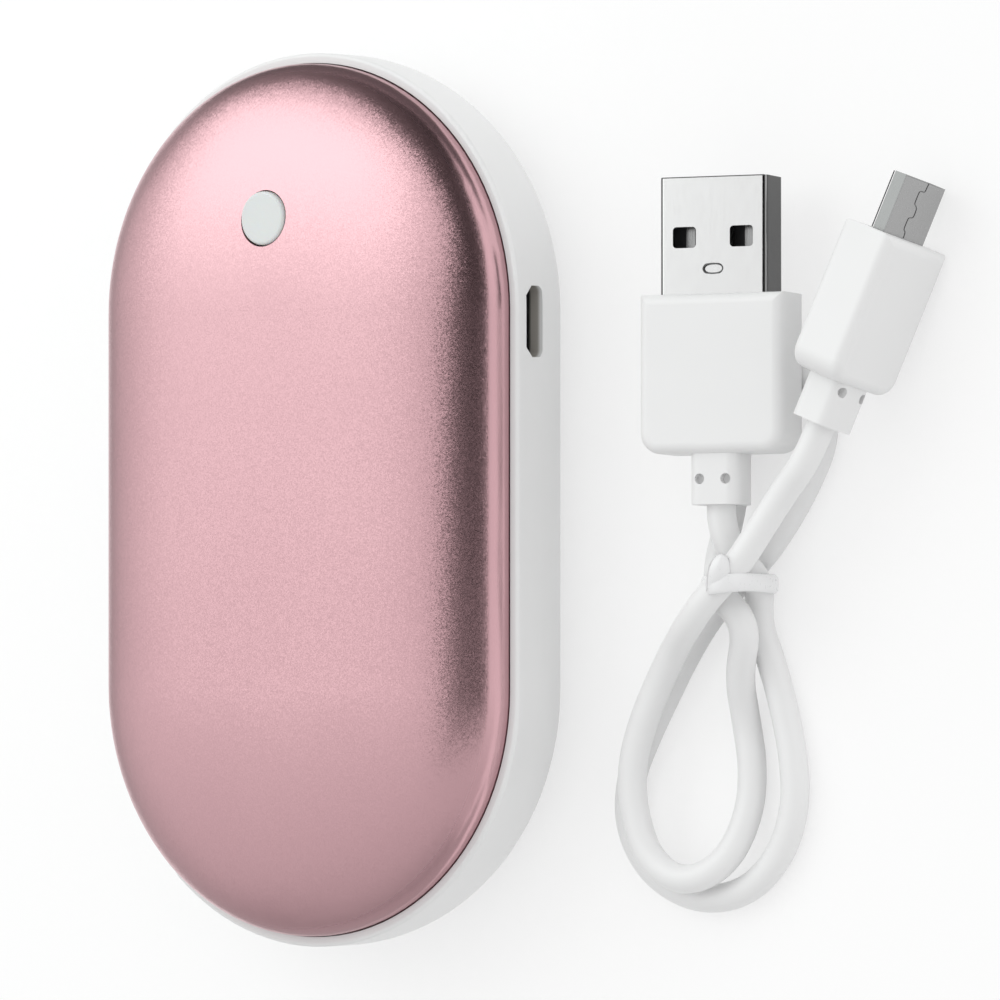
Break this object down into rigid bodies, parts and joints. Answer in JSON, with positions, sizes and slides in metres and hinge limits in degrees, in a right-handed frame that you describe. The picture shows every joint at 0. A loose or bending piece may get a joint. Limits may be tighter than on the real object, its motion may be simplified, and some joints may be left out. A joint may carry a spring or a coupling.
{
  "type": "rechargeable hand warmer",
  "caption": "Pebble-shaped rechargeable hand warmer with a domed pink metal front, white back, push button, side charging port and a tied white charging lead beside it.",
  "frame": {"origin": "middle of the flat back of the warmer, which lies on it", "axes": "+Z out of the metal front, +Y along the length towards the button, +X out of the charging port"},
  "size_m": [0.1009, 0.0954, 0.0225],
  "materials": {
    "pink_anodised": "fine bead-blasted anodised pink, satin sheen",
    "white_housing": "smooth satin white moulding",
    "inner_plastic": "plain white moulding",
    "milky_cap": "milky translucent cap",
    "black_plastic": "matt black moulding",
    "tin_plate": "bright tin-plated sheet",
    "board_green": "green lacquered fibre board",
    "steel_screw": "bright steel",
    "gold_contact": "gold-flashed contact",
    "ferrite_grey": "dull ferrite",
    "ceramic_tan": "fired ceramic",
    "lamp_lens": "clear lamp lens",
    "foil_pouch": "dull laminated foil",
    "grey_foam": "closed-cell foam",
    "white_gum": "heat-conducting gum sheet",
    "amber_film": "amber polyimide film",
    "trace_foil": "etched foil",
    "red_wire": "red wire sleeve",
    "black_wire": "black wire sleeve",
    "white_moulding": "soft-gloss white moulding",
    "nickel_plate": "bright nickel plate with fine draw lines",
    "plug_insulator": "black insulator",
    "white_cord": "smooth soft-gloss white jacket",
    "clear_tie": "milky white band"
  },
  "bodies": {
    "warmer": {"front_shell": "pink_anodised", "rear_housing": "white_housing", "inner_frame": "inner_plastic", "switch_base": "black_plastic", "switch_cover": "tin_plate", "circuit_board": "board_green", "board_screws": "steel_screw", "port_shell": "tin_plate", "port_tongue": "black_plastic", "port_contacts": "gold_contact", "control_chip": "black_plastic", "charger_chip": "black_plastic", "power_inductor": "ferrite_grey", "heater_transistor": "black_plastic", "chip_capacitors": "ceramic_tan", "chip_resistors": "black_plastic", "indicator_lamps": "lamp_lens", "battery_cell": "foil_pouch", "cell_cushion": "grey_foam", "insulation_pad": "grey_foam", "cell_tabs": "tin_plate", "guard_board": "board_green", "heat_adhesive": "white_gum", "heater_film": "amber_film", "heater_trace": "trace_foil", "thermistor": "black_plastic", "battery_lead_red": "red_wire", "battery_lead_black": "black_wire", "heater_leads": "red_wire", "thermistor_leads": "black_wire"},
    "button": {"button_cap": "milky_cap", "switch_plunger": "black_plastic"},
    "lead": {"usb_plug_body": "white_moulding", "usb_plug_shell": "nickel_plate", "usb_plug_tongue": "plug_insulator", "usb_plug_contacts": "tin_plate", "micro_plug_body": "white_moulding", "micro_plug_shell": "nickel_plate", "micro_plug_tongue": "plug_insulator", "micro_plug_contacts": "gold_contact", "micro_plug_latches": "nickel_plate", "charging_cord": "white_cord", "cord_tie": "clear_tie"}
  },
  "joints": [
    {"name": "button_press", "type": "slide", "parent": "warmer", "child": "button", "axis": [0, 0, -1], "range_m": [0, 0.0004], "stiffness_N_per_m": 3000},
    {"name": "lead_apart", "type": "slide", "parent": "warmer", "child": "lead", "axis": [1, 0, 0], "range_m": [0, 0.06]}
  ]
}
